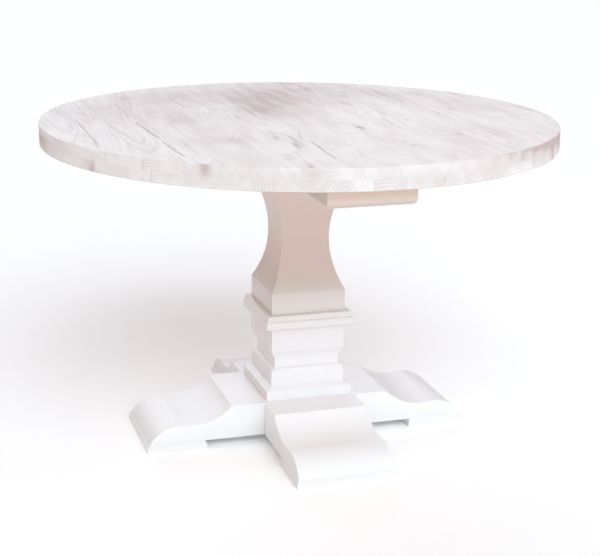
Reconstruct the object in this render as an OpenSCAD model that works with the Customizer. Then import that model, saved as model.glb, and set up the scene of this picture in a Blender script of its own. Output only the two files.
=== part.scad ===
// Round pedestal table. The top is two layers of staves glued face to face. It is screwed to a
// pair of halved bearers. A square hourglass post in two lengths stands on two halved ogee feet,
// and one long tie rod clamps bearers, post and feet together.
// The origin is the middle of the footprint on the floor, +Z is up and the front foot points to -Y.

/* [Top] */
// Height of the finished table
table_h = 756; // [700:2:860]
// Diameter of the round top
top_d = 1200; // [1000:10:1500]
// Thickness of each of the two layers of staves
layer_t = 24; // [20:1:32]
// Bevel on the two rims of the top
rim_ease = 1.5; // [0.5:0.5:4]

/* [Bearers] */
// Width of both bearers
bearer_w = 194; // [160:2:260]
// Length of the long bearer, front to back
long_bearer_l = 1010; // [760:10:1060]
// Thickness of the long bearer
long_bearer_t = 57; // [46:1:72]
// Radius along the lower edges of the long bearer
bearer_round = 12; // [4:1:20]
// Radius under each end of the long bearer
bearer_end_round = 24; // [10:1:32]
// Length of the cross bearer, side to side
cross_bearer_l = 700; // [560:10:900]
// Thickness of the cross bearer
cross_bearer_t = 40; // [32:1:50]
// Depth of timber that the long bearer gives up where the two cross
bearer_lap = 20; // [12:1:26]
// Bevel under each end of the cross bearer
cross_bevel = 22; // [6:1:30]

/* [Post] */
// Side of the square timber of the post
post_w = 180; // [150:2:220]
// Side of the post at the narrowest point of its neck
neck_w = 116; // [90:2:140]
// Length of the square head above the neck
head_h = 44; // [30:1:60]
// Length of the square block between the collar and the neck
shoulder_h = 51; // [36:1:70]
// Length of the square block between the collar and the waist
belly_h = 58; // [40:1:80]
// Length of the waist in the lower post
waist_h = 55; // [46:1:80]
// Depth of the waist below the post's face
waist_in = 11.5; // [8:0.5:16]
// Radius of the round at the foot of the waist
waist_round = 12; // [8:0.5:14]
// Length of the square band between the waist and the plinth
band_h = 30; // [20:1:45]

/* [Mouldings] */
// Height of the collar that hides the joint in the post
collar_h = 33; // [26:1:46]
// How far the collar stands out from the post
collar_out = 17; // [12:1:28]
// Height of the plinth moulding
plinth_h = 32; // [24:1:45]
// How far the plinth stands out from the post
plinth_out = 15.5; // [10:0.5:20]
// Height of the bevel on top of the plinth
plinth_bevel = 9; // [4:1:14]

/* [Feet] */
// Width of both foot beams
foot_w = 226; // [190:2:270]
// Thickness of the foot beams
foot_t = 79; // [66:1:96]
// Distance from the middle to the tip of a foot
foot_reach = 391; // [340:1:470]
// Distance from the middle to where the flat top of a foot ends
foot_flat = 193; // [165:1:225]
// Thickness of a foot in the dip of its ogee
foot_dip = 39; // [33:1:46]
// Radius of the hollow part of the ogee
hollow_r = 130; // [110:1:150]
// Radius of the round part of the ogee
crest_r = 80; // [70:1:95]
// Thickness of the pads under the feet
pad_t = 19; // [14:1:26]
// Length of a pad along its foot
pad_l = 142; // [110:1:170]
// How far a pad stands out past its foot
pad_lip = 5; // [2:1:8]

/* [Fixings] */
// Diameter of the tie rod
rod_d = 12; // [8:1:16]
// Width across the flats of the tie rod's nuts
nut_flats = 19; // [16:1:24]
// Thickness of the nuts
nut_t = 10; // [6:1:13]
// Diameter of the washers
washer_d = 37; // [30:1:44]
// Thickness of the washers
washer_t = 3; // [2:0.5:4]
// Diameter of the screws that hold the top and the pads
small_screw_d = 6; // [4:0.5:8]
// Timber of a bearer left under the head of a top screw
top_screw_grip = 28; // [20:1:30]
// How far the top screws reach into the top
top_screw_bite = 32; // [20:1:36]
// How far the pad screws reach into a foot
pad_screw_bite = 14; // [8:1:20]
// Diameter of the screws between the post, the bearers and the feet
big_screw_d = 8; // [6:0.5:10]
// How far the big screws reach into the post
big_screw_bite = 60; // [40:1:80]
// Diameter of the dowels between the two lengths of the post
dowel_d = 16; // [10:1:20]
// Length of those dowels
dowel_l = 80; // [50:2:110]

/* [Hidden] */
$fn = 180;
// Room round a rod or a screw head in its hole, and at each cheek of a lap joint
hole_gap = 1;
cheek_gap = 0.2;
// Distance of a fixing from the edge or the end of its timber
edge_inset = 40;
// How far cutting shapes run past a face
past = 1;

// Heights of the joints, from the floor up
foot_top = pad_t + foot_t;
lap_z = pad_t + foot_t / 2;
plinth_top = foot_top + plinth_h;
waist_low = plinth_top + band_h;
waist_top = waist_low + waist_h;
collar_low = waist_top + belly_h;
collar_top = collar_low + collar_h;
joint_z = collar_low + collar_h / 2;
neck_low = collar_top + shoulder_h;
top_low = table_h - 2 * layer_t;
post_top = top_low - long_bearer_t;
neck_top = post_top - head_h;
bearer_lap_z = top_low - bearer_lap;

// The neck is one arc that starts and ends on the post's face
neck_l = neck_top - neck_low;
neck_in = (post_w - neck_w) / 2;
neck_r = (neck_l * neck_l / 4 + neck_in * neck_in) / (2 * neck_in);

// The waist is a bevel, a shallow hollow and a round
waist_bevel_in = 0.75 * waist_in;
waist_bevel_h = 1.75 * waist_bevel_in;
waist_hollow_r = 65;

// The ogee is two arcs that meet in a tangent, with the round one ending at the tip
dip_z = pad_t + foot_dip;
tip = [foot_reach, pad_t];
hollow_drop = foot_top - dip_z;
hollow_c = [foot_flat + sqrt(2 * hollow_drop * hollow_r - hollow_drop * hollow_drop), dip_z + hollow_r];
crest_c = crossing(tip, crest_r, hollow_c, hollow_r + crest_r);
arc_steps = 16;
ogee = concat(
    arc(hollow_c, hollow_r, [foot_flat, foot_top], crest_c),
    arc(crest_c, crest_r, hollow_c, tip),
    [tip]
);

// Places of the fixings. The tie rod ends above the pads and stands proud of its nuts.
row_start = bearer_w / 2 + edge_inset;
row_side = bearer_w / 2 - edge_inset;
long_spots = [for (x = [-row_side, row_side], y = rows(long_bearer_l / 2, 3)) [x, y]];
cross_spots = [for (x = rows(cross_bearer_l / 2, 2), y = [-row_side, row_side]) [x, y]];
post_spots = [for (x = [-1, 1], y = [-1, 1]) [x, y] * (neck_w / 2)];
dowel_spots = [for (x = [-1, 1], y = [-1, 1]) [x, y] * (post_w / 2 - edge_inset)];
pad_mid = foot_reach + pad_lip - pad_l / 2;
pad_spots = [for (x = [-1, 1], y = [-1, 1]) [pad_mid + x * pad_l / 4, y * (foot_w / 2 - edge_inset)]];
washer_room = washer_d + 2 * hole_gap;
rod_cover = 3;
rod_proud = 4;
rod_low = pad_t + rod_cover;
rod_seat = rod_low + rod_proud + nut_t + washer_t;
rod_top = bearer_lap_z + washer_t + nut_t + rod_proud;

// Widths of the staves from left to right, as parts of the breadth of the top
upper_parts = [90, 60, 75, 60, 85, 55, 55, 45, 75, 90, 60, 60, 80, 60, 80, 70, 100];
lower_parts = [70, 95, 60, 110, 75, 60, 95, 70, 85, 60, 110, 75, 95, 60, 80];
upper_seams = seams(upper_parts);
lower_seams = seams(lower_parts);

timber_white = "#f3efee";
limed_timber = "#e9e3e4";
bare_timber = "#d9c3a0";
steel = "#b9bcc0";

SIDES = ["front", "right", "back", "left"];
UPPER = [for (i = [1 : len(upper_parts)]) str("upper_stave_", two(i))];
LOWER = [for (i = [1 : len(lower_parts)]) str("lower_stave_", two(i))];

function two(i) = i < 10 ? str("0", i) : str(i);

function sum(list, count) = count == 0 ? 0 : list[count - 1] + sum(list, count - 1);

// Places of the edges of a row of staves that fills the breadth of the top
function seams(parts) = [for (i = [0 : len(parts)]) top_d * (sum(parts, i) / sum(parts, len(parts)) - 0.5)];

// Distances of the rows of screws from the middle of a bearer, on both sides of the crossing
function rows(half, count) = [for (s = [-1, 1], i = [0 : count - 1])
    s * (row_start + (half - edge_inset - row_start) * i / (count - 1))];

// Where the circles (a, ra) and (b, rb) cross, on the left as seen from a to b
function crossing(a, ra, b, rb) = let (
    span = norm(b - a),
    ahead = (b - a) / span,
    along = (span * span + ra * ra - rb * rb) / (2 * span),
    aside = sqrt(ra * ra - along * along)
) a + along * ahead + aside * [-ahead[1], ahead[0]];

// Points on the circle (c, r) from where it faces one point up to, but without, where it faces another
function arc(c, r, from, to) = let (
    start = atan2(from[1] - c[1], from[0] - c[0]),
    step = (atan2(to[1] - c[1], to[0] - c[0]) - start) / arc_steps
) [for (i = [0 : arc_steps - 1]) c + r * [cos(start + i * step), sin(start + i * step)]];

// The points of the right half of an outline, then the same points on the left half
function mirrored(half) = concat(half, [for (i = [len(half) - 1 : -1 : 0]) [-half[i][0], half[i][1]]]);

// Turns a shape that lies on the +X side to side i: front, right, back, left
module to_side(i) {
    rotate([0, 0, 90 * (i - 1)]) children();
}

// Stands an outline of (across, height) up and runs it evenly to both sides
module run(length) {
    rotate([90, 0, 0]) linear_extrude(length, center = true) children();
}

// A square timber whose four faces all follow one outline of (across, height)
module four_faced(width) {
    intersection() {
        run(width) children();
        rotate([0, 0, 90]) run(width) children();
    }
}

module hole(spot, diameter, low, high) {
    translate([spot[0], spot[1], low]) cylinder(d = diameter, h = high - low);
}

// A pan head screw that points up from z, or down where it is flipped
module screw(spot, z, diameter, length, flipped) {
    head_t = diameter / 2;
    translate([spot[0], spot[1], z]) rotate([flipped ? 180 : 0, 0, 0]) {
        cylinder(d = diameter, h = length);
        translate([0, 0, -head_t]) cylinder(d = 2 * diameter, h = head_t);
    }
}

// The hole that a screw and its head need, open to the face that the head goes in by
module screw_hole(spot, z, diameter, length, face) {
    hole(spot, diameter, min(z, z + length), max(z, z + length));
    hole(spot, 2 * diameter + 2 * hole_gap, min(z, face), max(z, face));
}

module top_screw_holes() {
    for (spot = long_spots)
        screw_hole(spot, top_low - top_screw_grip, small_screw_d, top_screw_grip + top_screw_bite,
            post_top - past);
    for (spot = cross_spots)
        screw_hole(spot, top_low - top_screw_grip, small_screw_d, top_screw_grip + top_screw_bite,
            top_low - cross_bearer_t - past);
}

// Screws that go down through both bearers into the head of the post
module head_screw_holes() {
    for (spot = post_spots)
        screw_hole(spot, top_low - big_screw_d / 2, big_screw_d,
            -(top_low - big_screw_d / 2 - post_top + big_screw_bite), top_low + past);
}

// Screws that go up through both feet into the lower post
module base_screw_holes() {
    for (spot = post_spots)
        screw_hole(spot, pad_t + big_screw_d, big_screw_d,
            foot_t - big_screw_d + big_screw_bite, pad_t - past);
}

module pad_screw_holes() {
    for (spot = pad_spots)
        screw_hole(spot, small_screw_d, small_screw_d, pad_t - small_screw_d + pad_screw_bite, -past);
}

module dowel_holes() {
    for (spot = dowel_spots) hole(spot, dowel_d, joint_z - dowel_l / 2, joint_z + dowel_l / 2);
}

// The bore for the tie rod, with a pocket for washer and nut at each end
module rod_bore() {
    hole([0, 0], rod_d + hole_gap, pad_t - past, top_low + past);
    hole([0, 0], washer_room, pad_t - past, rod_seat);
    hole([0, 0], washer_room, bearer_lap_z, top_low + past);
}

// One layer of the top, with its rim bevelled on the side away from the glue line
module layer(low, bevel_up) {
    rim = top_d / 2;
    translate([0, 0, bevel_up ? low : low + layer_t]) mirror([0, 0, bevel_up ? 0 : 1])
        rotate_extrude() polygon([[0, 0], [rim, 0], [rim, layer_t - rim_ease],
            [rim - rim_ease, layer_t], [0, layer_t]]);
}

// The strip of a layer between two seams, with the pilot holes of the screws that meet it
module stave(from, to, low, bevel_up) {
    color(limed_timber) difference() {
        intersection() {
            layer(low, bevel_up);
            translate([from, -top_d, low]) cube([to - from, 2 * top_d, layer_t]);
        }
        for (spot = concat(long_spots, cross_spots))
            if (spot[0] > from - small_screw_d && spot[0] < to + small_screw_d)
                hole(spot, small_screw_d, top_low - past, top_low + top_screw_bite);
    }
}

module upper_stave(i) {
    stave(upper_seams[i], upper_seams[i + 1], top_low + layer_t, true);
}

module lower_stave(i) {
    stave(lower_seams[i], lower_seams[i + 1], top_low, false);
}

// The right half of a bearer's outline, from its round lower corner up
function rounded_half(half, r) = concat(
    arc([half - r, post_top + r], r, [half - r, post_top], [half, post_top + r]),
    [[half, post_top + r], [half, top_low]]
);

module long_bearer() {
    color(timber_white) difference() {
        intersection() {
            run(long_bearer_l + past) polygon(mirrored(rounded_half(bearer_w / 2, bearer_round)));
            rotate([0, 0, 90]) run(bearer_w + past)
                polygon(mirrored(rounded_half(long_bearer_l / 2, bearer_end_round)));
        }
        translate([-bearer_w, -bearer_w / 2 - cheek_gap, bearer_lap_z])
            cube([2 * bearer_w, bearer_w + 2 * cheek_gap, bearer_lap + past]);
        rod_bore();
        top_screw_holes();
        head_screw_holes();
    }
}

module cross_bearer() {
    half = cross_bearer_l / 2;
    low = top_low - cross_bearer_t;
    color(timber_white) difference() {
        run(bearer_w) polygon([[-half, top_low], [-half, low + cross_bevel], [-half + cross_bevel, low],
            [half - cross_bevel, low], [half, low + cross_bevel], [half, top_low]]);
        translate([-bearer_w / 2 - cheek_gap, -bearer_w, low - past])
            cube([bearer_w + 2 * cheek_gap, 2 * bearer_w, bearer_lap_z - low + past]);
        rod_bore();
        top_screw_holes();
        head_screw_holes();
    }
}

module upper_post_outline() {
    difference() {
        translate([-post_w / 2, joint_z]) square([post_w, post_top - joint_z]);
        for (s = [-1, 1])
            translate([s * (neck_w / 2 + neck_r), (neck_low + neck_top) / 2]) circle(r = neck_r);
    }
}

module post_upper() {
    color(timber_white) difference() {
        four_faced(post_w) upper_post_outline();
        rod_bore();
        head_screw_holes();
        dowel_holes();
    }
}

// What is cut from the right face of the lower post: bevel, hollow, then a round that stands proud
module waist_cut() {
    face = post_w / 2;
    root = face - waist_round;
    hollow_top = waist_top - waist_bevel_h;
    ledge = waist_low + waist_round;
    difference() {
        union() {
            polygon([[face + past, waist_top], [face, waist_top], [face - waist_bevel_in, hollow_top],
                [face - waist_bevel_in, ledge], [root, ledge], [root, waist_low], [face + past, waist_low]]);
            intersection() {
                translate([face - waist_in + waist_hollow_r, (hollow_top + ledge) / 2])
                    circle(r = waist_hollow_r);
                translate([root, ledge]) square([waist_round + past, hollow_top - ledge]);
            }
        }
        translate([root, waist_low]) circle(r = waist_round);
    }
}

module lower_post_outline() {
    difference() {
        translate([-post_w / 2, foot_top]) square([post_w, joint_z - foot_top]);
        for (s = [0, 1]) mirror([s, 0]) waist_cut();
    }
}

module post_lower() {
    color(timber_white) difference() {
        four_faced(post_w) lower_post_outline();
        rod_bore();
        base_screw_holes();
        dowel_holes();
    }
}

// A moulding along the +X face of the post, cut at 45 degrees at both ends
module mitred(low, height) {
    reach = post_w;
    intersection() {
        run(2 * reach) translate([post_w / 2, low]) children();
        translate([0, 0, low]) linear_extrude(height) polygon([[0, 0], [reach, -reach], [reach, reach]]);
    }
}

// Collar, bottom up: a broad lip with soft corners, a fillet, a band that leans in and a flat ledge
module collar_outline() {
    lip_top = 0.62 * collar_h;
    lip_ease = 3;
    corner = lip_ease / 3;
    fillet = 1.5;
    band_out = collar_out - lip_ease;
    ledge_out = band_out - 2;
    polygon([[0, 0], [collar_out - lip_ease, 0], [collar_out - corner, corner], [collar_out, lip_ease],
        [collar_out, lip_top - lip_ease], [collar_out - corner, lip_top - corner], [band_out, lip_top],
        [band_out, lip_top + fillet], [ledge_out, collar_h - fillet], [ledge_out - corner, collar_h],
        [0, collar_h]]);
}

module collar_length(i) {
    color(timber_white) to_side(i) mitred(collar_low, collar_h) collar_outline();
}

module plinth_length(i) {
    color(timber_white) to_side(i) mitred(foot_top, plinth_h)
        polygon([[0, 0], [plinth_out, 0], [plinth_out, plinth_h - plinth_bevel], [0, plinth_h]]);
}

// A beam with a foot at each end, that keeps its timber between low and high where it is halved
module foot_beam(low, high) {
    notch_low = low == pad_t ? high : low - foot_t;
    difference() {
        run(foot_w) polygon(mirrored(ogee));
        translate([-foot_w / 2 - cheek_gap, -foot_w, notch_low])
            cube([foot_w + 2 * cheek_gap, 2 * foot_w, foot_t]);
        for (i = [0, 180]) rotate([0, 0, i]) pad_screw_holes();
    }
}

module foot_beam_long() {
    color(timber_white) difference() {
        rotate([0, 0, 90]) foot_beam(pad_t, lap_z);
        rod_bore();
        base_screw_holes();
    }
}

module foot_beam_cross() {
    color(timber_white) difference() {
        foot_beam(lap_z, foot_top);
        rod_bore();
        base_screw_holes();
    }
}

// A pad's end view: a rectangle whose two upper corners are bevelled
module pad_outline(width) {
    half = width / 2;
    polygon([[-half, 0], [half, 0], [half, pad_t - pad_lip], [half - pad_lip, pad_t],
        [pad_lip - half, pad_t], [-half, pad_t - pad_lip]]);
}

module pad(i) {
    width = foot_w + 2 * pad_lip;
    color(timber_white) to_side(i) difference() {
        translate([pad_mid, 0, 0]) intersection() {
            run(width) pad_outline(pad_l);
            rotate([0, 0, 90]) run(width) pad_outline(width);
        }
        pad_screw_holes();
    }
}

module tie_rod() {
    color(steel) hole([0, 0], rod_d, rod_low, rod_top);
}

module tie_nuts() {
    across = nut_flats / cos(30);
    color(steel) difference() {
        for (z = [rod_seat - washer_t - nut_t, bearer_lap_z + washer_t])
            translate([0, 0, z]) cylinder(d = across, h = nut_t, $fn = 6);
        hole([0, 0], rod_d, 0, table_h);
    }
}

module tie_washers() {
    color(steel) difference() {
        for (z = [rod_seat - washer_t, bearer_lap_z])
            hole([0, 0], washer_d, z, z + washer_t);
        hole([0, 0], rod_d + hole_gap, 0, table_h);
    }
}

module post_dowels() {
    color(bare_timber) for (spot = dowel_spots)
        hole(spot, dowel_d, joint_z - dowel_l / 2, joint_z + dowel_l / 2);
}

module top_screws() {
    color(steel) for (spot = concat(long_spots, cross_spots))
        screw(spot, top_low - top_screw_grip, small_screw_d, top_screw_grip + top_screw_bite, false);
}

module head_screws() {
    z = top_low - big_screw_d / 2;
    color(steel) for (spot = post_spots) screw(spot, z, big_screw_d, z - post_top + big_screw_bite, true);
}

module base_screws() {
    z = pad_t + big_screw_d;
    color(steel) for (spot = post_spots) screw(spot, z, big_screw_d, foot_top - z + big_screw_bite, false);
}

module pad_screws() {
    color(steel) for (i = [0 : 3]) to_side(i) for (spot = pad_spots)
        screw(spot, small_screw_d, small_screw_d, pad_t - small_screw_d + pad_screw_bite, false);
}

for (i = [0 : len(UPPER) - 1]) upper_stave(i);
for (i = [0 : len(LOWER) - 1]) lower_stave(i);
long_bearer();
cross_bearer();
post_upper();
post_lower();
for (i = [0 : 3]) collar_length(i);
for (i = [0 : 3]) plinth_length(i);
foot_beam_long();
foot_beam_cross();
for (i = [0 : 3]) pad(i);
tie_rod();
tie_nuts();
tie_washers();
post_dowels();
top_screws();
head_screws();
base_screws();
pad_screws();
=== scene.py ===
import math

import bmesh
import bpy
import numpy as np
from mathutils import Matrix, Vector


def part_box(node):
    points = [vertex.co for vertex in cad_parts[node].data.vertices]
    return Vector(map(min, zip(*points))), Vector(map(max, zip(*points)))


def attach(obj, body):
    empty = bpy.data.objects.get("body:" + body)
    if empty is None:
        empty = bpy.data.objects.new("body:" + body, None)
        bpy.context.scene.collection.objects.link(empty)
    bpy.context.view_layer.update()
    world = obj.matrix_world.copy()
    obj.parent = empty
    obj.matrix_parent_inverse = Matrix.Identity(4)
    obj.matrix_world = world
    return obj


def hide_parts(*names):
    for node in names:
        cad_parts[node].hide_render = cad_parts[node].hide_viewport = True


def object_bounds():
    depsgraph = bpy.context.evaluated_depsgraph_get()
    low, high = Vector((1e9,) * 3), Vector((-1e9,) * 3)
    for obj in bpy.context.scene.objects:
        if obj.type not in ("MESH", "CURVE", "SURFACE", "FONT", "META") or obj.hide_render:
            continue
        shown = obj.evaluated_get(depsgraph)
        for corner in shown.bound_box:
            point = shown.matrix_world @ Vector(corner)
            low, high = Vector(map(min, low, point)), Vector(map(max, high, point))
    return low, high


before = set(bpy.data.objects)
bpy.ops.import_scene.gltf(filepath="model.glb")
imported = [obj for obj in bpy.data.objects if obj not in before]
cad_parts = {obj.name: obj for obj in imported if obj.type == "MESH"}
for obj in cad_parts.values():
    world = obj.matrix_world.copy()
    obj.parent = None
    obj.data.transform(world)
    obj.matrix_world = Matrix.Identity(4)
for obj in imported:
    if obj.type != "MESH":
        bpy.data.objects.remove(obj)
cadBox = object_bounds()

scene = bpy.context.scene
mm = 0.001
rootBody = "root"

# The camera

cameraSetup = {
    "azimuth": -17.47,                     # degrees round the table, 0 looks along +Y
    "elevation": 15.92,                    # degrees above the floor
    "roll": 0.756,                         # degrees
    "distance": 3.319,                     # metres from the point looked at
    "lookAt": (0.0055, -0.0017, 0.3663),
    "lens": 82.56,                         # millimetres on a 36 mm wide sensor
}


def placeCamera(setup):
    # The lens stands back from the point looked at, along the two angles, and rolls about its own axis
    azimuth, elevation, roll = (math.radians(setup[k]) for k in ("azimuth", "elevation", "roll"))
    back = Vector((math.sin(azimuth) * math.cos(elevation),
                   -math.cos(azimuth) * math.cos(elevation), math.sin(elevation)))
    right = Vector((math.cos(azimuth), math.sin(azimuth), 0))
    up = back.cross(right)
    rolledRight = right * math.cos(roll) + up * math.sin(roll)
    rolledUp = up * math.cos(roll) - right * math.sin(roll)
    data = bpy.data.cameras.new("camera")
    data.lens = setup["lens"]
    data.sensor_width = 36
    data.clip_end = 200
    camera = bpy.data.objects.new("camera", data)
    turn = Matrix((rolledRight, rolledUp, back)).transposed().to_4x4()
    camera.matrix_world = Matrix.Translation(Vector(setup["lookAt"]) + back * setup["distance"]) @ turn
    scene.collection.objects.link(camera)
    scene.camera = camera


placeCamera(cameraSetup)

# Helpers for materials


def linearColour(hexCode, alpha=1.0):
    # sRGB hex to linear light
    srgb = np.array([int(hexCode[i:i + 2], 16) for i in (1, 3, 5)]) / 255
    linear = np.where(srgb <= 0.04045, srgb / 12.92, ((srgb + 0.055) / 1.055) ** 2.4)
    return (*linear, alpha)


def addNode(tree, kind, settings=None, links=None):
    # settings hold properties by name and input values by socket; links map a socket to an output
    node = tree.nodes.new(kind)
    for key, value in (settings or {}).items():
        if isinstance(key, str) and hasattr(node, key):
            setattr(node, key, value)
        else:
            node.inputs[key].default_value = value
    for socket, output in (links or {}).items():
        tree.links.new(output, node.inputs[socket])
    return node


def newMaterial(name):
    # A material with an empty node tree, and that tree
    material = bpy.data.materials.new(name)
    material.use_nodes = True
    material.node_tree.nodes.clear()
    return material, material.node_tree


def setRamp(node, stops):
    # stops are (place, hex colour or grey level)
    elements = node.color_ramp.elements
    while len(elements) > 1:
        elements.remove(elements[-1])
    for i, (place, tone) in enumerate(stops):
        element = elements[0] if i == 0 else elements.new(place)
        element.position = place
        element.color = linearColour(tone) if isinstance(tone, str) else (tone, tone, tone, 1)


# Studio light, floor and wall

lightSetup = {
    # soft panels far away: in front, in front and wide, behind and low, behind and wide, right, left,
    # overhead. Angles are in degrees, and the spread is half a panel's width
    "panels": (
        {"azimuth": 0, "elevation": 38, "spread": 32, "strength": 3.42, "tone": "#e6f8ff"},
        {"azimuth": 0, "elevation": 30, "spread": 60, "strength": 1.06, "tone": "#f3f7ff"},
        {"azimuth": 180, "elevation": 20, "spread": 26, "strength": 2.18, "tone": "#d8f1ff"},
        {"azimuth": 180, "elevation": 30, "spread": 50, "strength": 1.25, "tone": "#ebf0ff"},
        {"azimuth": 90, "elevation": 30, "spread": 40, "strength": 0.83, "tone": "#ffecea"},
        {"azimuth": -100, "elevation": 38, "spread": 40, "strength": 1.0, "tone": "#ffe4d2"},
        {"azimuth": 0, "elevation": 90, "spread": 45, "strength": 0.2, "tone": "#ffd8b8"},
    ),
    # one lamp over the front right of the top: metres and watts
    "topLamp": {"place": (1.1, -1.1, 2.1), "aim": (0.35, -0.3, 0.75), "size": 0.9, "power": 4.2,
                "tone": "#fbfbff"},
}


def buildSky(panels):
    # The sum of the panels, each fading smoothly from its middle to its spread
    world = bpy.data.worlds.new("studio")
    scene.world = world
    world.use_nodes = True
    tree = world.node_tree
    tree.nodes.clear()
    direction = addNode(tree, "ShaderNodeTexCoord").outputs["Generated"]
    total = None
    for panel in panels:
        azimuth, elevation = math.radians(panel["azimuth"]), math.radians(panel["elevation"])
        middle = (math.sin(azimuth) * math.cos(elevation), -math.cos(azimuth) * math.cos(elevation),
                  math.sin(elevation))
        facing = addNode(tree, "ShaderNodeVectorMath", {"operation": "DOT_PRODUCT", 1: middle},
                         {0: direction})
        edge = math.cos(math.radians(panel["spread"]))
        fade = addNode(tree, "ShaderNodeMapRange", {"interpolation_type": "SMOOTHSTEP", "From Min": edge},
                       {"Value": facing.outputs["Value"]})
        colour = [panel["strength"] * part for part in linearColour(panel["tone"])[:3]]
        glow = addNode(tree, "ShaderNodeVectorMath", {"operation": "SCALE", 0: colour},
                       {"Scale": fade.outputs["Result"]})
        total = addNode(tree, "ShaderNodeVectorMath", {"operation": "ADD"},
                        {0: glow.outputs[0], **({1: total.outputs[0]} if total else {})})
    background = addNode(tree, "ShaderNodeBackground", links={"Color": total.outputs[0]})
    addNode(tree, "ShaderNodeOutputWorld", links={"Surface": background.outputs[0]})


def softbox(name, setup):
    # A square lamp that faces the point it is aimed at
    data = bpy.data.lights.new(name, "AREA")
    data.shape = "SQUARE"
    data.size = setup["size"]
    data.energy = setup["power"]
    data.color = linearColour(setup["tone"])[:3]
    lamp = bpy.data.objects.new(name, data)
    lamp.location = setup["place"]
    aim = Vector(setup["aim"]) - Vector(setup["place"])
    lamp.rotation_euler = aim.to_track_quat("-Z", "Y").to_euler()
    scene.collection.objects.link(lamp)


studio = {
    "floorReach": 60,                      # metres, wide enough to fill the view to the horizon
    "floorTone": "#fcfcfc",
    "floorGlow": 0.07,                     # the light that the floor gives off by itself
    "wallRadius": 58,                      # metres
    "wallSides": 64,
    "wallHeight": 40,                      # metres
    "wallTone": "#ffffff",
}


def buildFloor(setup):
    # A pale matt studio floor, lit a little from inside as a light table is
    data = bpy.data.meshes.new("floor")
    reach = setup["floorReach"]
    data.from_pydata([(-reach, -reach, 0), (reach, -reach, 0), (reach, reach, 0), (-reach, reach, 0)],
                     [], [(0, 1, 2, 3)])
    floor = bpy.data.objects.new("floor", data)
    scene.collection.objects.link(floor)
    material, tree = newMaterial("paleStudioFloor")
    surface = addNode(tree, "ShaderNodeBsdfPrincipled",
                      {"Base Color": linearColour(setup["floorTone"]), "Roughness": 1.0,
                       "Specular IOR Level": 0.0, "Emission Color": (1, 1, 1, 1),
                       "Emission Strength": setup["floorGlow"]})
    addNode(tree, "ShaderNodeOutputMaterial", links={"Surface": surface.outputs[0]})
    data.materials.append(material)


def buildWall(setup):
    # A white wall round the studio, which only closes the view above the floor and gives no light
    sides = setup["wallSides"]
    turn = np.linspace(0, 2 * math.pi, sides + 1)[:-1]
    ring = np.stack([np.cos(turn), np.sin(turn)], -1) * setup["wallRadius"]
    heights = np.repeat([0.0, setup["wallHeight"]], sides)[:, None]
    data = bpy.data.meshes.new("studioWall")
    near = np.arange(sides)
    far = np.roll(near, -1)
    data.from_pydata(np.concatenate([np.tile(ring, (2, 1)), heights], 1).tolist(), [],
                     np.stack([far, near, near + sides, far + sides], -1).tolist())
    wall = bpy.data.objects.new("studioWall", data)
    scene.collection.objects.link(wall)
    material, tree = newMaterial("whiteStudioWall")
    glow = addNode(tree, "ShaderNodeEmission", {"Color": linearColour(setup["wallTone"])})
    addNode(tree, "ShaderNodeOutputMaterial", links={"Surface": glow.outputs[0]})
    data.materials.append(material)
    wall.visible_diffuse = wall.visible_glossy = wall.visible_shadow = False


buildSky(lightSetup["panels"])
softbox("topLamp", lightSetup["topLamp"])
buildFloor(studio)
buildWall(studio)
scene.view_settings.view_transform = "Standard"
print("camera, floor and light placed")

# Helpers for surfaces


def arris(distance, radius):
    # How far a quarter round of this radius drops below the face at a distance from the edge
    inside = np.clip(radius - distance, 0, radius)
    return radius - np.sqrt(radius * radius - inside * inside)


def drift(points, size, seed, count=7):
    # A smooth random field of about -1 to 1: a sum of sine waves about `size` long in random directions
    random = np.random.default_rng(seed)
    waves = random.normal(size=(count, 3))
    lengths = random.uniform(0.7, 1.6, (count, 1))
    waves *= 2 * math.pi / lengths / np.linalg.norm(waves, axis=1, keepdims=True)
    phases = random.uniform(0, 2 * math.pi, count)
    return np.sin((points / size) @ waves.T + phases).sum(-1) / math.sqrt(count)


def capRings(ring, steps):
    # Rings that shrink evenly from an end ring to its middle, outermost first, without the ring itself
    middle = ring.mean(0)
    shares = np.linspace(1, 0, steps + 1)[1:, None, None]
    return middle + (ring - middle) * shares


def loftPiece(name, rings, attributes, material, smoothAngle):
    # A grid of rings, closed round each ring and at both ends, made one mesh with merged poles
    stations, around = rings.shape[:2]
    index = np.arange(stations * around).reshape(stations, around)
    corners = [index[:-1], np.roll(index, -1, 1)[:-1], np.roll(index, -1, 1)[1:], index[1:]]
    quads = np.stack(corners, -1).reshape(-1, 4)
    data = bpy.data.meshes.new(name)
    data.vertices.add(stations * around)
    data.vertices.foreach_set("co", rings.reshape(-1).astype(np.float32))
    data.loops.add(quads.size)
    data.loops.foreach_set("vertex_index", quads.reshape(-1).astype(np.int32))
    data.polygons.add(len(quads))
    data.polygons.foreach_set("loop_start", np.arange(0, quads.size, 4, dtype=np.int32))
    for key, values in attributes.items():
        layer = data.attributes.new(key, "FLOAT", "POINT")
        layer.data.foreach_set("value", values.reshape(-1).astype(np.float32))
    data.update()
    return finishMesh(name, data, material, smoothAngle)


mergeWithin = 2e-6                         # metres


def finishMesh(name, data, material, smoothAngle):
    # Merges doubled points, turns the faces outwards and shades smooth up to an angle
    shape = bmesh.new()
    shape.from_mesh(data)
    bmesh.ops.remove_doubles(shape, verts=shape.verts, dist=mergeWithin)
    bmesh.ops.dissolve_degenerate(shape, edges=shape.edges, dist=mergeWithin / 2)
    bmesh.ops.recalc_face_normals(shape, faces=shape.faces)
    shape.to_mesh(data)
    shape.free()
    data.polygons.foreach_set("use_smooth", np.ones(len(data.polygons), bool))
    data.set_sharp_from_angle(angle=math.radians(smoothAngle))
    data.materials.append(material)
    piece = bpy.data.objects.new(name, data)
    scene.collection.objects.link(piece)
    return piece


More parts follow.
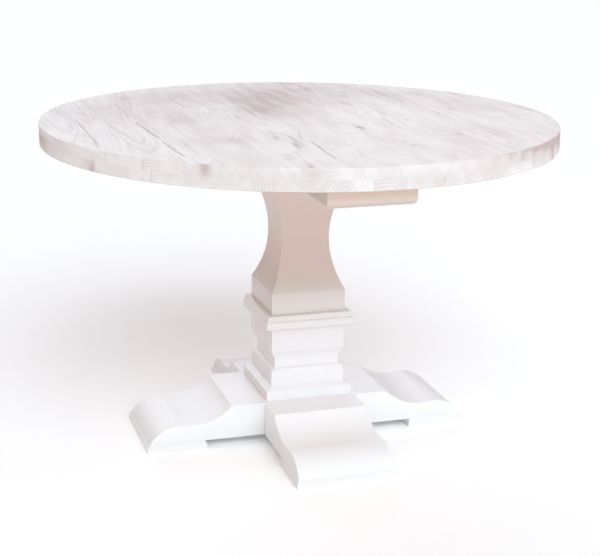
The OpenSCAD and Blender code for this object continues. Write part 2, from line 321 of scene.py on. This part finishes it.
def standFor(piece, node):
    # The piece rides on the table and shows in place of the solid
    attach(piece, rootBody)
    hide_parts(node)


# Limewashed timber of the top

limewash = {
    "ground": "#efe9e6",                   # lime that fills the brushed earlywood
    "thinLime": "#e3d9d5",                 # where the wash is thin
    "wornLimeAndShade": "#bfa9a4",                 # where hands and cloths have taken most of it off, and painted shade on the top and rim
    "lateWood": "#b6a8a2",                 # hard latewood that stays proud of the lime
    "crack": "#7d6a5e",
    "rawTimber": "#c4a183",                # the underside was left bare
    "rawLate": "#a37a57",
    "fibreWidth": 1.8,                     # mm, drawn coarser than the real 0.05 mm so that it shows
    "fibreLength": 90,                     # mm
    "patchWidth": 70,                      # mm, one sweep of the wash across the grain
    "patchLength": 240,                    # mm, and along it
    "staveShift": (3.1, 7.7, 5.3),         # metres that move the pattern from one stave to the next
    "endGrainShow": 0.75,                  # how much latewood shows on the rim, where the lime soaked in
    "ringRuffle": 0.3,                     # how far the fibres ruffle the edge of a ring, in rings
    # place within one year ring, and how much latewood is there
    "yearRamp": ((0.0, 0.12), (0.3, 0.0), (0.62, 0.12), (0.86, 1.0), (0.95, 0.9), (1.0, 0.12)),
    "fibreInWash": 0.45,                   # how much the wash follows the fibres rather than its own sweeps
    "fibreRelief": 0.6,                    # height of the fibres beside that of the latewood
    "reliefStrength": 0.4,
    "reliefDepth": 0.4,                    # mm
    "roughness": 0.62,
}


def buildLimewash(look):
    # Softwood that was wire brushed, limewashed and sealed matt: chalky ground, fine grey-brown lines
    material, tree = newMaterial("limewashedTimber")
    place = addNode(tree, "ShaderNodeTexCoord")
    rings, dark, tone, bare, wearAndShade, rim = (
        addNode(tree, "ShaderNodeAttribute", {"attribute_name": name}).outputs["Fac"]
        for name in ("rings", "dark", "tone", "bare", "wearAndShade", "rim"))

    # fibres and sweeps of wash: noise stretched along the grain, shifted from stave to stave
    shift = addNode(tree, "ShaderNodeVectorMath", {"operation": "SCALE", 0: look["staveShift"]},
                    {"Scale": tone})
    spot = addNode(tree, "ShaderNodeVectorMath", {"operation": "ADD"},
                   {0: place.outputs["Object"], 1: shift.outputs[0]})
    across, along = 1 / (look["fibreWidth"] * mm), 1 / (look["fibreLength"] * mm)
    fibrePlace = addNode(tree, "ShaderNodeMapping", {"Scale": (across, along, across)},
                         {"Vector": spot.outputs[0]})
    fibres = addNode(tree, "ShaderNodeTexNoise", {"Scale": 1.0, "Detail": 3.0, "Roughness": 0.6},
                     {"Vector": fibrePlace.outputs[0]}).outputs["Fac"]
    across, along = 1 / (look["patchWidth"] * mm), 1 / (look["patchLength"] * mm)
    patchPlace = addNode(tree, "ShaderNodeMapping", {"Scale": (across, along, across)},
                         {"Vector": spot.outputs[0]})
    patches = addNode(tree, "ShaderNodeTexNoise", {"Scale": 1.0, "Detail": 5.0, "Roughness": 0.66},
                      {"Vector": patchPlace.outputs[0]}).outputs["Fac"]

    # one year ring: pale earlywood that darkens, then a crisp edge
    bent = addNode(tree, "ShaderNodeMath", {"operation": "MULTIPLY_ADD", 1: look["ringRuffle"]},
                   {0: fibres, 2: rings}).outputs[0]
    year = addNode(tree, "ShaderNodeMath", {"operation": "FRACT"}, {0: bent})
    lateRamp = addNode(tree, "ShaderNodeValToRGB", links={0: year.outputs[0]})
    late = lateRamp.outputs[0]
    setRamp(lateRamp, look["yearRamp"])
    whole = addNode(tree, "ShaderNodeMath", {"operation": "FLOOR"}, {0: bent})
    pair = addNode(tree, "ShaderNodeCombineXYZ", links={0: whole.outputs[0], 1: tone})
    perYear = addNode(tree, "ShaderNodeTexWhiteNoise", {"noise_dimensions": "2D"},
                      {"Vector": pair.outputs[0]})
    yearTone = addNode(tree, "ShaderNodeMapRange", {"To Min": 0.2, "To Max": 1.0},
                       {"Value": perYear.outputs["Value"]})
    fibreTone = addNode(tree, "ShaderNodeMapRange", {"From Min": 0.35, "From Max": 0.65, "To Min": 0.25},
                        {"Value": fibres})
    thinWashAndShadedSide = addNode(tree, "ShaderNodeMapRange", {"From Min": 0.4, "From Max": 0.62, "To Min": 0.2},
                   {"Value": patches}).outputs[0]
    onRim = addNode(tree, "ShaderNodeMapRange", {"To Min": 1.0, "To Max": look["endGrainShow"]},
                    {"Value": rim})
    show = late
    for share in (yearTone.outputs[0], fibreTone.outputs[0], thinWashAndShadedSide, onRim.outputs[0]):
        show = addNode(tree, "ShaderNodeMath", {"operation": "MULTIPLY"}, {0: show, 1: share}).outputs[0]

    def mixed(share, under, over):
        # Lays one colour over another; each is a colour of the look or an output
        settings = {key: linearColour(look[c]) for key, c in ((6, under), (7, over)) if isinstance(c, str)}
        links = {key: c for key, c in ((6, under), (7, over)) if not isinstance(c, str)}
        mix = addNode(tree, "ShaderNodeMix", {"data_type": "RGBA", **settings}, {0: share, **links})
        return mix.outputs[2]

    wash = addNode(tree, "ShaderNodeMath", {"operation": "MULTIPLY_ADD", 1: look["fibreInWash"]},
                   {0: fibreTone.outputs[0], 2: thinWashAndShadedSide})
    washShare = addNode(tree, "ShaderNodeMapRange", {"From Min": 0.35, "From Max": 1.45},
                        {"Value": wash.outputs[0]})
    # lost lime and painted shade both draw the colour towards the worn lime here
    limed = mixed(wearAndShade, mixed(washShare.outputs[0], "ground", "thinLime"), "wornLimeAndShade")
    raw = mixed(late, "rawTimber", "rawLate")
    colour = mixed(dark, mixed(bare, mixed(show, limed, "lateWood"), raw), "crack")

    # brushing leaves the latewood proud and the fibres furrowed
    height = addNode(tree, "ShaderNodeMath", {"operation": "MULTIPLY_ADD", 1: look["fibreRelief"]},
                     {0: fibres, 2: late})
    relief = addNode(tree, "ShaderNodeBump",
                     {"Strength": look["reliefStrength"], "Distance": look["reliefDepth"] * mm},
                     {"Height": height.outputs[0]})
    surface = addNode(tree, "ShaderNodeBsdfPrincipled",
                      {"Roughness": look["roughness"], "IOR": 1.5, "Specular IOR Level": 0.3},
                      {"Base Color": colour, "Normal": relief.outputs[0]})
    addNode(tree, "ShaderNodeOutputMaterial", links={"Surface": surface.outputs[0]})
    return material


# White paint of the pedestal

paintLook = {
    # metres above the floor and the tone there: darker at the floor, and painted shade, warmer and darker,
    # high up under the top
    "shadeTones": ((0.02, "#ece9e8"), (0.08, "#f6f4f4"), (0.2, "#f4efef"), (0.26, "#f0e9e7"), (0.295, "#efe7e4"),
              (0.335, "#e6dbd6"), (0.385, "#ddcabf"), (0.43, "#e1ccc1"), (0.5, "#e8d4c9"), (0.65, "#e9d5ca")),
    "shade": 0.95,                         # brightness of the thin strokes beside the full ones
    "brushWidth": 2.2,                     # mm between bristle marks, drawn coarser than the real 0.5 mm
    "brushLength": 160,                    # mm
    "clouding": 110,                       # mm across one of the slow changes of the coat
    "roughness": 0.42,
    "roughSpread": (-0.06, 0.1),           # how far the bristle marks change it
    "markStrength": 0.22,
    "markDepth": 0.15,                     # mm
}


def buildPaint(name, look, alongAxis, shadeAxis=2):
    # Eggshell paint laid on timber with a brush: soft sheen, faint marks along the piece, and painted shade
    # in its tones along one axis
    material, tree = newMaterial(name)
    place = addNode(tree, "ShaderNodeTexCoord")
    scale = [1 / (look["brushWidth"] * mm)] * 3
    scale[alongAxis] = 1 / (look["brushLength"] * mm)
    stretched = addNode(tree, "ShaderNodeMapping", {"Scale": scale}, {"Vector": place.outputs["Object"]})
    strokes = addNode(tree, "ShaderNodeTexNoise", {"Scale": 1.0, "Detail": 3.0, "Roughness": 0.55},
                      {"Vector": stretched.outputs[0]})
    body = addNode(tree, "ShaderNodeTexNoise", {"Scale": 1 / (look["clouding"] * mm), "Detail": 3.0},
                   {"Vector": place.outputs["Object"]})
    # half strokes and half clouds, moved a little towards the full coat
    half = addNode(tree, "ShaderNodeMath", {"operation": "MULTIPLY_ADD", 1: 0.5, 2: -0.05},
                   {0: strokes.outputs["Fac"]})
    mixed = addNode(tree, "ShaderNodeMath", {"operation": "MULTIPLY_ADD", 1: 0.5},
                    {0: body.outputs["Fac"], 2: half.outputs[0]})
    shade = addNode(tree, "ShaderNodeMapRange", {"To Min": 1.0, "To Max": look["shade"]},
                    {"Value": mixed.outputs[0]})
    # painted shade: the tone ramp along one axis darkens and warms the paint where it stands in shade
    split = addNode(tree, "ShaderNodeSeparateXYZ", links={0: place.outputs["Object"]})
    first, last = look["shadeTones"][0][0], look["shadeTones"][-1][0]
    share = addNode(tree, "ShaderNodeMapRange", {"From Min": first, "From Max": last},
                    {"Value": split.outputs[shadeAxis]})
    shadeRamp = addNode(tree, "ShaderNodeValToRGB", links={0: share.outputs["Result"]})
    setRamp(shadeRamp, [((at - first) / (last - first), tone) for at, tone in look["shadeTones"]])
    colour = addNode(tree, "ShaderNodeVectorMath", {"operation": "SCALE"},
                     {0: shadeRamp.outputs["Color"], "Scale": shade.outputs["Result"]})
    smoothest, roughest = (look["roughness"] + change for change in look["roughSpread"])
    rough = addNode(tree, "ShaderNodeMapRange", {"To Min": smoothest, "To Max": roughest},
                    {"Value": strokes.outputs["Fac"]})
    marks = addNode(tree, "ShaderNodeBump",
                    {"Strength": look["markStrength"], "Distance": look["markDepth"] * mm},
                    {"Height": strokes.outputs["Fac"]})
    surface = addNode(tree, "ShaderNodeBsdfPrincipled", {"IOR": 1.5},
                      {"Base Color": colour.outputs[0], "Roughness": rough.outputs[0],
                       "Normal": marks.outputs[0]})
    addNode(tree, "ShaderNodeOutputMaterial", links={"Surface": surface.outputs[0]})
    return material


fixingLook = {
    "zinc": "#b9bcc0",
    "zincShade": "#9aa0a6",
    "crystal": 4.0,                        # mm across a facet of the zinc, drawn coarser than the real 1 mm
    "beech": "#d9b58c",
    "beechFleck": "#a97c50",
    "fleckWidth": 1.1,                     # mm, drawn coarser than the real 0.3 mm
    "fleckLength": 7.1,                    # mm
}


def buildZinc(look):
    # Mild steel, zinc plated and passivated: silvery with a faint blue patchwork of crystals
    material, tree = newMaterial("zincPlatedSteel")
    place = addNode(tree, "ShaderNodeTexCoord")
    facets = addNode(tree, "ShaderNodeTexVoronoi", {"Scale": 1 / (look["crystal"] * mm), "Randomness": 1.0},
                     {"Vector": place.outputs["Object"]})
    split = addNode(tree, "ShaderNodeSeparateColor", links={0: facets.outputs["Color"]})
    colour = addNode(tree, "ShaderNodeMix", {"data_type": "RGBA", 6: linearColour(look["zinc"]),
                                             7: linearColour(look["zincShade"])}, {0: split.outputs[0]})
    rough = addNode(tree, "ShaderNodeMapRange", {"To Min": 0.28, "To Max": 0.45},
                    {"Value": split.outputs[1]})
    surface = addNode(tree, "ShaderNodeBsdfPrincipled", {"Metallic": 1.0},
                      {"Base Color": colour.outputs[2], "Roughness": rough.outputs[0]})
    addNode(tree, "ShaderNodeOutputMaterial", links={"Surface": surface.outputs[0]})
    return material


def buildBeech(look):
    # Steamed beech, turned and left bare: even tan with short darker flecks along the grain
    material, tree = newMaterial("bareBeech")
    place = addNode(tree, "ShaderNodeTexCoord")
    across, along = 1 / (look["fleckWidth"] * mm), 1 / (look["fleckLength"] * mm)
    stretched = addNode(tree, "ShaderNodeMapping", {"Scale": (across, across, along)},
                        {"Vector": place.outputs["Object"]})
    flecks = addNode(tree, "ShaderNodeTexNoise", {"Scale": 1.0, "Detail": 2.0},
                     {"Vector": stretched.outputs[0]})
    share = addNode(tree, "ShaderNodeMapRange", {"From Min": 0.52, "From Max": 0.7},
                    {"Value": flecks.outputs["Fac"]})
    colour = addNode(tree, "ShaderNodeMix", {"data_type": "RGBA", 6: linearColour(look["beech"]),
                                             7: linearColour(look["beechFleck"])}, {0: share.outputs[0]})
    surface = addNode(tree, "ShaderNodeBsdfPrincipled", {"Roughness": 0.6},
                      {"Base Color": colour.outputs[2]})
    addNode(tree, "ShaderNodeOutputMaterial", links={"Surface": surface.outputs[0]})
    return material


bearerShading = {
    "full": "#f6e3d6",                     # painted light: the ends warm white, lighter than the sides
    "thinWashAndShadedSide": "#d6c5b9",                     # painted shade: the sides darker
    "litEndReach": 8 * mm,                       # how far the painted light laps round the ends
}


def bearerShadedLook(node, axis):
    # The paint look with its tones set out along a bearer: painted light at one end, painted shade along the
    # sides, painted light at the other end
    low, high = (corner[axis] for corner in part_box(node))
    full, thinWashAndShadedSide, litEndReach = bearerShading["full"], bearerShading["thinWashAndShadedSide"], bearerShading["litEndReach"]
    return {**paintLook, "shadeTones": ((low, full), (low + litEndReach, thinWashAndShadedSide), (high - litEndReach, thinWashAndShadedSide), (high, full))}


limedTimber = buildLimewash(limewash)
zincSteel = buildZinc(fixingLook)
bareBeech = buildBeech(fixingLook)
# the bearers: painted light on their ends and painted shade along their sides
bearerAcross = buildPaint("shadedBearerPaintSideToSide", bearerShadedLook("cross_bearer", 0), 0, 0)
bearerAlong = buildPaint("shadedBearerPaintFrontToBack", bearerShadedLook("long_bearer", 1), 1, 1)
# the white paints carry painted shade in their tones by height, warmer and darker high up under the top
paintUpright = buildPaint("shadedWhitePaintUpright", paintLook, 2)
paintAcross = buildPaint("shadedWhitePaintSideToSide", paintLook, 0)
paintAlong = buildPaint("shadedWhitePaintFrontToBack", paintLook, 1)
print("materials made")

# Staves of the top

discRadius = (cadBox[1][1] - cadBox[0][1]) / 2
staveLook = {
    "seamGap": 0.1 * mm,
    "seamRound": 0.35 * mm,
    "rimRound": 1.5 * mm,
    "glueRound": 0.15 * mm,
    "topStep": 1.7 * mm,                   # between grid lines across an upper stave
    "underStep": 4 * mm,
    "topRows": 210,                        # grid lines along an upper stave
    "underRows": 40,
    "relief": 0.3 * mm,                    # how deep the brush cut the earlywood
    "crackDepth": 0.9 * mm,
    "markDepth": 3 * mm,                   # how far below the top cracks and knots still show
    "bareDepth": 0.4 * mm,                 # how far above the underside the timber is still bare
    "rimFade": 3 * mm,                     # where the look of the top gives way to that of the rim
    "seamRows": 6,                         # grid lines down a seam
    "rimRings": 9,                         # rings from the edge of an end to its middle
    "smoothAngle": 45,                     # degrees between faces up to which they shade as one
}

# Marks of age in the top, and painted shade on it: places in millimetres from its middle, and widths in
# millimetres
topMarks = {
    "crackShow": 0.7,                      # how dark all the cracks are
    "crackWaver": ((0.9, 19), (0.5, 7.3)),  # how far a crack wavers, over what length
    "streakShow": 0.2,                     # how much the grain breaks up the worn and shaded places
    # the streaks that break them up: share, size in metres, stretch along the grain, seed
    "streaks": ((1.0, 0.028, 0.1, 11), (0.7, 0.011, 0.16, 12)),
    "wornMost": 0.9,                       # the most that lost lime and painted shade together reach anywhere
    "rimShow": 1.2,                        # how much all the worn and shaded places on the rim show
    "rimReach": 0.45,                      # how far up and down they reach, as a share of the rim's height
    # cracks and open seams: x and y of both ends, half width, how dark
    "cracks": (
        (-510, 100, -510, -265, 1.6, 0.6), (-450, 430, -447, 180, 1.3, 0.35),
        (-446, 40, -450, -300, 1.3, 0.35), (-384, 370, -381, 190, 1.4, 0.4),
        (-384, 20, -375, -200, 2.8, 0.85), (-374, -225, -366, -415, 2.2, 0.85),
        (-320, 0, -313, -163, 1.5, 0.45), (-231, 380, -229, 200, 2.0, 0.5),
        (-120, -150, -86, -268, 1.8, 0.65), (-60, -190, -82, -275, 1.8, 0.6),
        (-68, -290, -80, -505, 2.2, 0.8), (-112, -300, -113, -372, 2.4, 0.5),
        (-91, 310, -90, 60, 2.0, 0.5), (-90, 125, -92, 60, 3.5, 0.6), (91, -110, 83, -240, 2.2, 0.5),
        (150, 60, 146, -60, 1.2, 0.3), (208, 25, 205, -30, 2.0, 0.45), (291, 390, 289, 270, 1.6, 0.35),
        (430, 165, 426, 105, 2.2, 0.45), (410, 300, 411, 250, 1.8, 0.3),
        (350, -20, 346, -120, 1.3, 0.3), (500, -60, 497, -160, 1.4, 0.35),
    ),
    # knots: x, y, half width, half length, how dark
    "knots": (
        (92, -160, 9, 24, 0.5), (270, -290, 7, 16, 0.22), (335, -235, 5, 16, 0.2),
        (322, -345, 6, 16, 0.25), (338, -420, 5, 12, 0.2), (122, -350, 6, 14, 0.2),
        (-228, -250, 10, 22, 0.22), (236, -82, 6, 16, 0.22), (-12, -470, 6, 18, 0.2),
        (400, 40, 7, 16, 0.2), (215, 300, 8, 22, 0.25), (-160, -440, 6, 16, 0.22),
    ),
    # places where the lime has worn away, with broad patches of painted shade over the back and left of the
    # top: x, y, half width, half length, how much
    "wearAndShade": (
        (90, 440, 210, 170, 0.52), (-35, 180, 75, 190, 0.62), (-62, 130, 30, 60, 0.5),
        (60, 250, 60, 150, 0.4), (-280, 60, 34, 130, 0.28), (-250, -260, 60, 60, 0.25),
        (-430, 210, 170, 200, 0.25), (-200, 400, 140, 160, 0.3), (330, 300, 130, 130, 0.16),
        (480, 90, 70, 140, 0.14), (-330, 80, 260, 420, 0.12),
    ),
    # and on the rim, stains with painted shade towards both ends: degrees round from +X, half width in
    # degrees, height share, how much
    "rimWearAndShade": (
        (182, 4, 0.35, 0.55), (170, 12, 0.5, 0.35), (192, 8, 0.6, 0.2), (207.7, 1.0, 0.05, 0.7),
        (235, 1.2, 0.9, 0.6), (255, 4, 0.6, 0.2), (280, 3, 0.2, 0.15), (-62, 7, 1.1, 0.5),
        (-51, 6, 1.0, 0.75), (-42, 6, 0.9, 0.85), (-33, 5, 0.75, 0.7), (-75, 22, 0.4, 0.14),
        (237, 12, 0.4, 0.14), (-40.5, 0.8, 0.2, 0.6), (-24, 10, 0.5, 0.4), (140, 6, 0.4, 0.3),
        (90, 40, 0.5, 0.15), (40, 8, 0.6, 0.3),
    ),
}


def crackShare(points):
    # How much of a point lies in a crack: a bell across it, fading to nothing at both ends
    x, y = points[..., 0] / mm, points[..., 1] / mm
    deepest = np.zeros(x.shape)
    (wide, longWave), (narrow, shortWave) = topMarks["crackWaver"]
    for x0, y0, x1, y1, halfWidth, strength in topMarks["cracks"]:
        length = math.hypot(x1 - x0, y1 - y0)
        along = ((x - x0) * (x1 - x0) + (y - y0) * (y1 - y0)) / length ** 2
        waver = wide * np.sin(y / longWave + x0) + narrow * np.sin(y / shortWave + y0)
        off = ((x - x0) * (y1 - y0) - (y - y0) * (x1 - x0)) / length + waver
        taper = np.sqrt(np.clip(6 * along * (1 - along), 0, 1))
        deepest = np.maximum(deepest, strength * taper * np.exp(-(off / halfWidth) ** 2))
    return topMarks["crackShow"] * deepest


def knotReach(points):
    # For each knot: the distance from it in its own half sizes
    x, y = points[..., 0] / mm, points[..., 1] / mm
    for x0, y0, halfWidth, halfLength, strength in topMarks["knots"]:
        yield np.hypot((x - x0) / halfWidth, (y - y0) / halfLength), halfWidth, strength


def rimShare(points):
    # One on the rim, fading to nothing a little inside it
    fromMiddle = np.hypot(points[..., 0], points[..., 1])
    return np.clip((fromMiddle - discRadius) / staveLook["rimFade"] + 1, 0, 1)


def wearAndShadeShare(points, topZ, layers):
    # How thin the lime is, plus painted shade: bells on the top and on the rim, broken up by streaks along
    # the grain
    x, y = points[..., 0] / mm, points[..., 1] / mm
    streaks = sum(share * drift(points * (1, stretch, 1), size, seed)
                  for share, size, stretch, seed in topMarks["streaks"])
    top = np.zeros(x.shape)
    for x0, y0, halfWidth, halfLength, amount in topMarks["wearAndShade"]:
        top = top + amount * np.exp(-((x - x0) / halfWidth) ** 2 - ((y - y0) / halfLength) ** 2)
    rim = np.zeros(x.shape)
    angle, height = np.degrees(np.arctan2(y, x)), 1 - (topZ - points[..., 2]) / layers
    for middle, halfWidth, share, amount in topMarks["rimWearAndShade"]:
        turn = (angle - middle + 180) % 360 - 180
        reach = ((height - share) / topMarks["rimReach"]) ** 2
        rim = rim + topMarks["rimShow"] * amount * np.exp(-(turn / halfWidth) ** 2 - reach)
    onRim = rimShare(points)
    wearAndShade = (top * (1 - onRim) + rim * onRim) * (1 + topMarks["streakShow"] * streaks)
    return np.clip(wearAndShade, 0, topMarks["wornMost"])


growth = {
    "flatSawnShare": 0.6,                  # share of the staves whose pith lies under them
    "ringWidth": (4.5, 7.5),               # mm, drawn coarser than the real 2 to 4 mm so that it shows
    "flatOffset": (0, 0.35),               # of the stave's width, from its middle to the pith
    "flatDepth": (8, 50),                  # mm below the stave
    "quarterOffset": (0.8, 1.6),           # the same for a stave cut from beside the pith
    "quarterHeight": (-30, 40),            # mm above the stave's underside
    "leanAcross": 0.012,                   # how far the pith wanders per length of stave
    "leanUp": 0.045,
    "bend": (1, 4),                        # mm
    "bendLength": 0.9,                     # metres
    "waver": 2.6,                          # mm, how uneven the rings are
    "waverSize": 38,                       # mm
    "waverStretch": 0.12,                  # how much slower the rings waver along the grain
    "knotPush": 1.3,                       # how far a knot pushes the rings aside, in its half widths
    "knotReach": 1.8,                      # how far out it pushes them, in its half sizes
    "lateStart": 0.5,                      # where in a ring the latewood starts
    "lateRise": 0.35,                      # over what share of the ring it hardens
    "lateDrop": 0.08,                      # and over what share it ends
}


def staveFigure(seed, low, high):
    # Where a stave was cut from its log, drawn at random from its seed
    random = np.random.default_rng(seed)
    width, middle = high[0] - low[0], (high[0] + low[0]) / 2
    side = random.choice([-1, 1])
    flatSawn = random.random() < growth["flatSawnShare"]
    ringWidth = random.uniform(*growth["ringWidth"]) * mm
    if flatSawn:
        pithX = middle + side * random.uniform(*growth["flatOffset"]) * width
        pithZ = low[2] - random.uniform(*growth["flatDepth"]) * mm
    else:
        pithX = middle + side * random.uniform(*growth["quarterOffset"]) * width
        pithZ = low[2] + random.uniform(*growth["quarterHeight"]) * mm
    return {
        "seed": seed,
        "ringWidth": ringWidth,
        "pith": (pithX, pithZ),
        "lean": (random.uniform(-1, 1) * growth["leanAcross"], random.uniform(-1, 1) * growth["leanUp"]),
        "bend": random.uniform(*growth["bend"]) * mm,
        "phase": random.uniform(0, 6),
        "tone": random.uniform(0, 1),
    }


def growthRings(points, stave):
    # Distance from a leaning, slightly bent pith in ring widths, pushed out round each knot
    x, y, z = points[..., 0], points[..., 1], points[..., 2]
    bend = stave["bend"] * np.sin(2 * math.pi * y / growth["bendLength"] + stave["phase"])
    pithX = stave["pith"][0] + stave["lean"][0] * y + bend
    pithZ = stave["pith"][1] + stave["lean"][1] * y
    distance = np.hypot(x - pithX, z - pithZ)
    stretched = points * (1, growth["waverStretch"], 1)
    uneven = drift(stretched, growth["waverSize"] * mm, stave["seed"])
    distance = distance + growth["waver"] * mm * uneven
    for nearness, halfWidth, _ in knotReach(points):
        push = growth["knotPush"] * halfWidth * mm
        distance = distance + push * np.exp(-(nearness / growth["knotReach"]) ** 2)
    return distance / stave["ringWidth"]


def lateShare(rings):
    # How much of a point is hard latewood: rises late in each ring and drops at its edge
    year = rings % 1
    rise = np.clip((year - growth["lateStart"]) / growth["lateRise"], 0, 1)
    return rise * np.clip((1 - year) / growth["lateDrop"], 0, 1)


def staveEdges(low, high):
    # Its left and right edge: a hair inside each seam, or the rim where it is the outermost stave
    left = -discRadius if low[0] < -discRadius + mm else low[0] + staveLook["seamGap"]
    right = discRadius if high[0] > discRadius - mm else high[0] - staveLook["seamGap"]
    return left, right


def gridAcross(left, right, step):
    # Places across a stave, even as angles round the disc and closer together at the seams
    start, stop = np.arccos(np.clip([-left / discRadius, -right / discRadius], -1, 1))
    count = int((stop - start) * discRadius / step) + 8
    nearSeam = np.array([0.15, 0.4, 0.8, 1.3]) * staveLook["seamRound"]
    across = [-discRadius * np.cos(np.linspace(start, stop, count))]
    if left > -discRadius:
        across.append(left + nearSeam)
    if right < discRadius:
        across.append(right - nearSeam)
    return np.unique(np.concatenate(across).round(7))


def rimReach(x, inset=0.0):
    # How far from the middle line the rim, or a circle inside it, lies at a place across
    return np.sqrt(np.clip((discRadius - inset) ** 2 - x * x, 0, None))


def buildStave(node, seed, upper):
    # A grid across and along the stave, laid on its two faces, dropped where edges are eased, where the
    # brush cut the earlywood and where cracks run, then closed by the seams and by the rim's cylinder
    low, high = (np.array(corner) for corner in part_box(node))
    look = staveLook
    stave = staveFigure(seed, low, high)
    left, right = staveEdges(low, high)
    across = gridAcross(left, right, look["topStep"] if upper else look["underStep"])

    # rows along the stave: close together at both ends, at the rim, and even between
    nearRim = np.array([0, 0.12, 0.35, 0.65, 1.1]) * look["rimRound"]
    inner = np.linspace(0, 1, (look["topRows"] if upper else look["underRows"]) + 2)[1:-1]

    def rows(x):
        # Where each row crosses the grid lines at x, from the front rim to the back one
        ends = rimReach(x[None], nearRim[:, None])
        return np.concatenate([-ends, (2 * inner[:, None] - 1) * ends[-1], ends[::-1]])

    def eased(x, y, outer):
        # The drop of the rounded rim, plus that of each rounded seam
        drop = arris(discRadius - np.hypot(x, y), look["rimRound"] if outer else look["glueRound"])
        for edge, isRim in ((left, left <= -discRadius), (right, right >= discRadius)):
            if not isRim:
                drop = drop + arris(np.abs(x - edge), look["seamRound"])
        return drop

    def face(x, z, downwards, outer, brushed):
        # One face as a grid at height z, dropped towards the inside of the stave
        y = rows(x)
        grid = np.stack([np.broadcast_to(x, y.shape), y, np.full(y.shape, z)], -1)
        drop = eased(grid[..., 0], y, outer)
        if brushed:
            drop = drop + look["relief"] * (1 - lateShare(growthRings(grid, stave)))
            drop = drop + look["crackDepth"] * crackShare(grid)
        grid[..., 2] += drop * (1 if downwards else -1)
        return grid

    under = across[::4] if (len(across) - 1) % 4 == 0 else np.append(across[::4], across[-1])
    top = face(across, high[2], False, upper, upper)
    bottom = face(under, low[2], True, not upper, False)[:, ::-1]
    shares = np.linspace(0, 1, look["seamRows"] + 2)[1:-1, None]
    rightSide = top[:, -1:] + (bottom[:, :1] - top[:, -1:]) * shares
    leftSide = bottom[:, -1:] + (top[:, :1] - bottom[:, -1:]) * shares
    body = np.concatenate([top, rightSide, bottom, leftSide], 1)

    def endRings(ring, sign):
        # The rim: rings that shrink to the middle of the end, each laid on the cylinder of the rim
        rings = capRings(ring[:, [0, 2]], look["rimRings"])
        x, z = rings[..., 0], rings[..., 1]
        return np.stack([x, sign * rimReach(x), z], -1)

    grid = np.concatenate([endRings(body[0], -1)[::-1], body, endRings(body[-1], 1)])
    rings = growthRings(grid, stave)
    bare, dark = np.zeros(rings.shape), np.zeros(rings.shape)
    if upper:
        onTop = grid[..., 2] > high[2] - look["markDepth"]
        dark = crackShare(grid) * onTop
        for nearness, _, strength in knotReach(grid):
            dark = np.maximum(dark, onTop * strength * np.exp(-nearness ** 2))
    else:
        firstUnder = top.shape[1] + rightSide.shape[1]
        underSide = slice(firstUnder, firstUnder + bottom.shape[1])
        bare[:, underSide] = grid[:, underSide, 2] < low[2] + look["bareDepth"]
    # lost lime plus painted shade on the top's left and back and at the rim's ends
    wearAndShade = wearAndShadeShare(grid, cadBox[1][2], 2 * (high[2] - low[2]))
    attributes = {"rings": rings, "dark": dark, "bare": bare, "wearAndShade": wearAndShade, "rim": rimShare(grid),
                  "tone": np.full(rings.shape, stave["tone"])}
    piece = loftPiece(node + "_limed", grid, attributes, limedTimber, look["smoothAngle"])
    standFor(piece, node)


upperNodes = sorted(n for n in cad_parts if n.startswith("upper_stave"))
lowerNodes = sorted(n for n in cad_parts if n.startswith("lower_stave"))
for seed, node in enumerate(upperNodes, 100):
    buildStave(node, seed, True)
for seed, node in enumerate(lowerNodes, 200):
    buildStave(node, seed, False)
print("staves built")

# Pieces that keep the shape of their solids

softEdges = {
    "post": 2.0 * mm,
    "moulding": 0.8 * mm,
    "pad": 1.2 * mm,
    "beam": 2.5 * mm,
    "segments": 3,
    "fromAngle": 32,                       # degrees; a flatter edge stays as it is
    "flatAngle": 0.3,                      # degrees between triangles of one flat face
    "mergeWithin": 1e-5,                   # metres
}


def softenedCopy(node, width, material):
    # The solid's mesh with its flat faces joined again and a small round on every sharp edge
    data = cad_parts[node].data.copy()
    shape = bmesh.new()
    shape.from_mesh(data)
    bmesh.ops.remove_doubles(shape, verts=shape.verts, dist=softEdges["mergeWithin"])
    bmesh.ops.dissolve_limit(shape, angle_limit=math.radians(softEdges["flatAngle"]), verts=shape.verts,
                             edges=shape.edges)
    shape.to_mesh(data)
    shape.free()
    data.materials.clear()
    piece = finishMesh(node + "_painted", data, material, softEdges["fromAngle"])
    bevel = piece.modifiers.new("softEdges", "BEVEL")
    bevel.width = width
    bevel.segments = softEdges["segments"]
    bevel.limit_method = "ANGLE"
    bevel.angle_limit = math.radians(softEdges["fromAngle"])
    bevel.use_clamp_overlap = True
    standFor(piece, node)


for node in ("post_upper", "post_lower"):
    softenedCopy(node, softEdges["post"], paintUpright)
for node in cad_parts:
    if node.startswith(("collar_", "plinth_")):
        sideToSide = node.endswith(("front", "back"))
        softenedCopy(node, softEdges["moulding"], paintAcross if sideToSide else paintAlong)
    if node.startswith("pad_"):
        softenedCopy(node, softEdges["pad"], paintAlong)
softenedCopy("foot_beam_long", softEdges["beam"], paintAlong)
softenedCopy("foot_beam_cross", softEdges["beam"], paintAcross)
softenedCopy("long_bearer", softEdges["beam"], bearerAlong)
softenedCopy("cross_bearer", softEdges["beam"], bearerAcross)
print("painted pieces built")

# the fixings keep their own shapes and take their finish here
for node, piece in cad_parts.items():
    if node == "post_dowels" or node.startswith("tie_") or node.endswith("_screws"):
        for slot in piece.material_slots:
            slot.material = bareBeech if node == "post_dowels" else zincSteel
print("fixings finished")
